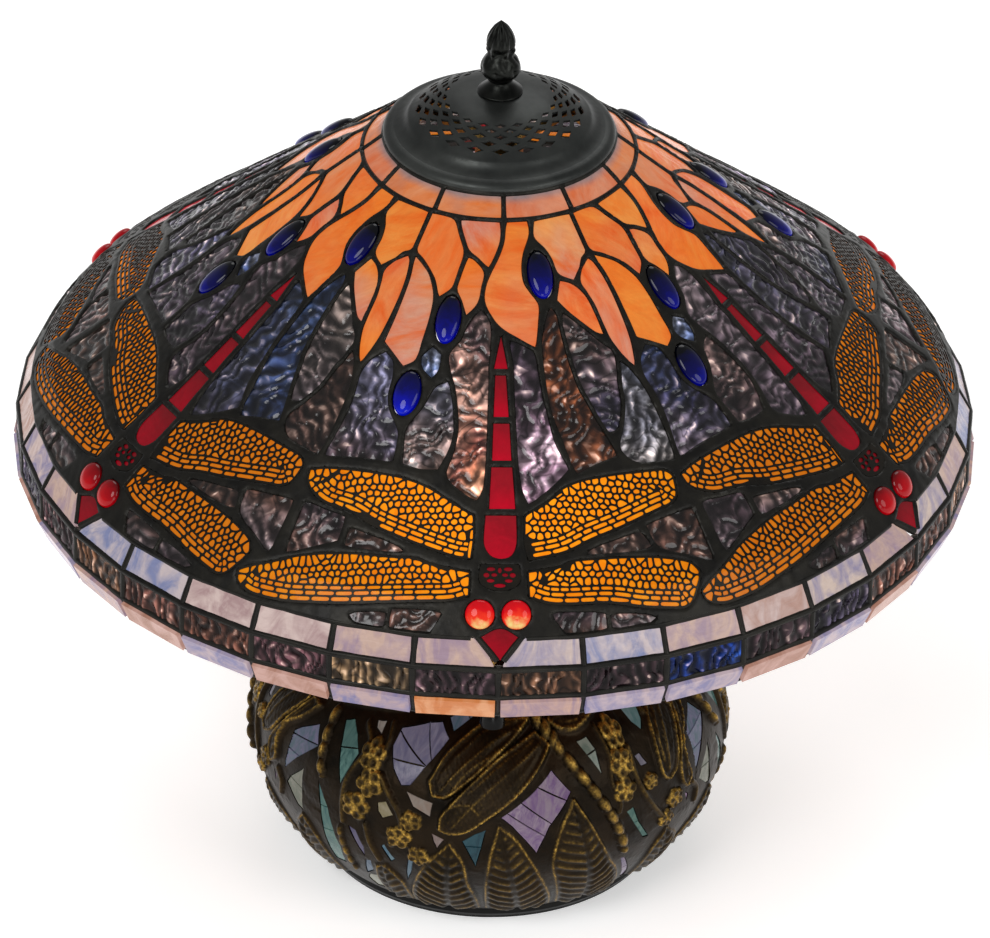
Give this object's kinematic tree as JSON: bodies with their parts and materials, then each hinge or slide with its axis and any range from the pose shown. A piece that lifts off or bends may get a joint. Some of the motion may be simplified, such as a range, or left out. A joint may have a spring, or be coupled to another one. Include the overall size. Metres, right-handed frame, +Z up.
{
  "type": "stained glass table lamp",
  "caption": "Table lamp with a conical leaded-glass dragonfly shade, pierced heat cap, pull-chain sockets and a cast mosaic base.",
  "frame": {"origin": "centre of the underside of the felt pad", "axes": "+Z up along the stem, front (dragonfly and pull chain) towards -Y, cord towards +Y"},
  "size_m": [0.521, 0.521, 0.5176],
  "materials": {
    "crown_bricks": "opalescent",
    "crown_petals": "opalescent",
    "petal_leaves": "streaky",
    "ripple_rays": "rippled",
    "wing_glass": "streaky",
    "dragonfly_bodies": "smooth",
    "dragonfly_heads": "smooth",
    "ground_glass": "rippled",
    "cabochons": "polished",
    "eye_jewels": "polished",
    "upper_border_glass": "opalescent",
    "ripple_border_glass": "rippled",
    "rim_border_glass": "opalescent",
    "filigree": "dark patina",
    "lead": "dark patina, satin",
    "brass": "satin",
    "dark_bronze": "satin",
    "steel": "satin",
    "paper_liner": "matt",
    "phenolic": "matt",
    "wire": "smooth",
    "cast_bronze": "antique bronze, rubbed edges",
    "mosaic_glass": "opalescent",
    "black_foot": "satin",
    "felt": "felt",
    "iron": "rough",
    "rubber": "matt",
    "cord": "satin",
    "bulb_glass": "frosted",
    "bulb_base": "satin",
    "brass_chain": "satin",
    "black_fob": "satin"
  },
  "bodies": {
    "base": {"shade_wheel": "brass", "stud": "steel", "stud_nuts": "steel", "stem_sleeves": "dark_bronze", "cluster_body": "brass", "cluster_arms": "steel", "arm_nuts": "steel", "socket_caps": "brass", "socket_shells": "brass", "socket_liners": "paper_liner", "socket_interiors": "phenolic", "lead_wires": "wire", "chain_outlets": "brass", "base_shell": "cast_bronze", "mosaic_tiles": "mosaic_glass", "foot_ring": "black_foot", "felt_pad": "felt", "base_plate": "steel", "ballast": "iron", "base_screws": "steel", "base_collar": "cast_bronze", "stem_wire": "wire", "cord_bushing": "rubber", "cord": "cord", "plug_body": "cord", "plug_prongs": "brass"},
    "shade": {"crown_bricks": "crown_bricks", "crown_petals": "crown_petals", "petal_leaves": "petal_leaves", "ripple_rays": "ripple_rays", "wing_glass": "wing_glass", "dragonfly_bodies": "dragonfly_bodies", "dragonfly_heads": "dragonfly_heads", "ground_glass": "ground_glass", "cabochons": "cabochons", "eye_jewels": "eye_jewels", "upper_border_glass": "upper_border_glass", "ripple_border_glass": "ripple_border_glass", "rim_border_glass": "rim_border_glass", "wing_filigree": "filigree", "head_filigree": "filigree", "lead_lattice": "lead", "rim_wire": "lead", "shade_top_ring": "brass"},
    "cap": {"heat_cap": "dark_bronze"},
    "finial": {"finial": "dark_bronze"},
    "bulb_front": {"bulb_glass_front": "bulb_glass", "bulb_base_front": "bulb_base"},
    "pull_front": {"pull_chain_front": "brass_chain", "chain_fob_front": "black_fob"},
    "bulb_right": {"bulb_glass_right": "bulb_glass", "bulb_base_right": "bulb_base"},
    "pull_right": {"pull_chain_right": "brass_chain", "chain_fob_right": "black_fob"},
    "bulb_left": {"bulb_glass_left": "bulb_glass", "bulb_base_left": "bulb_base"},
    "pull_left": {"pull_chain_left": "brass_chain", "chain_fob_left": "black_fob"}
  },
  "joints": [
    {"name": "shade_lift", "type": "slide", "parent": "base", "child": "shade", "axis": [0, 0, 1], "range_m": [0, 0.22]},
    {"name": "cap_lift", "type": "slide", "parent": "shade", "child": "cap", "axis": [0, 0, 1], "range_m": [0, 0.06]},
    {"name": "finial_turn", "type": "hinge", "parent": "cap", "child": "finial", "pos_m": [0, 0, 0.4735], "axis": [0, 0, 1], "continuous": true},
    {"name": "bulb_turn_front", "type": "hinge", "parent": "base", "child": "bulb_front", "pos_m": [0, -0.12802, 0.32243], "axis": [0, -0.9848, -0.1736], "continuous": true},
    {"name": "chain_pull_front", "type": "slide", "parent": "base", "child": "pull_front", "axis": [0, 0, -1], "range_m": [0, 0.008], "stiffness_N_per_m": 400},
    {"name": "bulb_turn_right", "type": "hinge", "parent": "base", "child": "bulb_right", "pos_m": [0.11087, 0.06401, 0.32243], "axis": [0.8529, 0.4924, -0.1736], "continuous": true},
    {"name": "chain_pull_right", "type": "slide", "parent": "base", "child": "pull_right", "axis": [0, 0, -1], "range_m": [0, 0.008], "stiffness_N_per_m": 400},
    {"name": "bulb_turn_left", "type": "hinge", "parent": "base", "child": "bulb_left", "pos_m": [-0.11087, 0.06401, 0.32243], "axis": [-0.8529, 0.4924, -0.1736], "continuous": true},
    {"name": "chain_pull_left", "type": "slide", "parent": "base", "child": "pull_left", "axis": [0, 0, -1], "range_m": [0, 0.008], "stiffness_N_per_m": 400}
  ]
}
